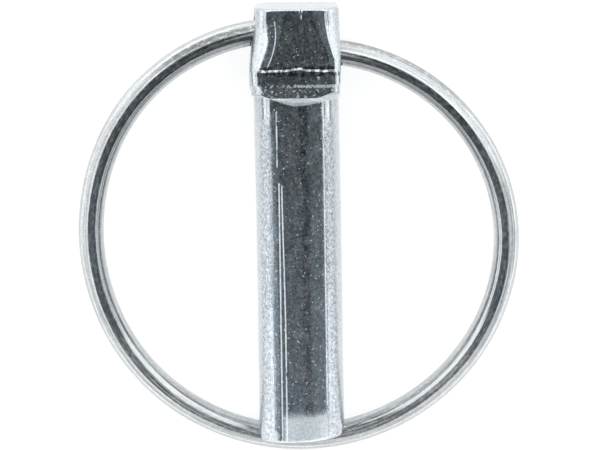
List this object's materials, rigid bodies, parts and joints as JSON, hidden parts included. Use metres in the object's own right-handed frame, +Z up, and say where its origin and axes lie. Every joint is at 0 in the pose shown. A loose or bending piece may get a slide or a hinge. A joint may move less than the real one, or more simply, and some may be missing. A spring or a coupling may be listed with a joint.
{
  "type": "lynch pin",
  "caption": "Forged lynch pin with a square nosed head and a sprung wire ring that swings from the head and closes behind the tip.",
  "frame": {"origin": "centre of the part's plan outline, on the surface that it lies on", "axes": "+Z up from the surface, +Y from the tip towards the head, +X to the right when the nose is up and the head is away from you"},
  "size_m": [0.0572, 0.0592, 0.0141],
  "materials": {
    "pin_steel": "bright blue-white zinc plating over a forged, slightly pitted surface",
    "ring_wire": "bright blue-white zinc plating on drawn spring wire"
  },
  "bodies": {
    "pin": {"pin_body": "pin_steel"},
    "ring": {"ring": "ring_wire"}
  },
  "joints": [
    {"name": "ring_swing", "type": "hinge", "parent": "pin", "child": "ring", "pos_m": [0.00003, 0.02472, 0.0058], "axis": [0.9583, -0.2849, -0.0225], "range_deg": [0, 345]}
  ]
}
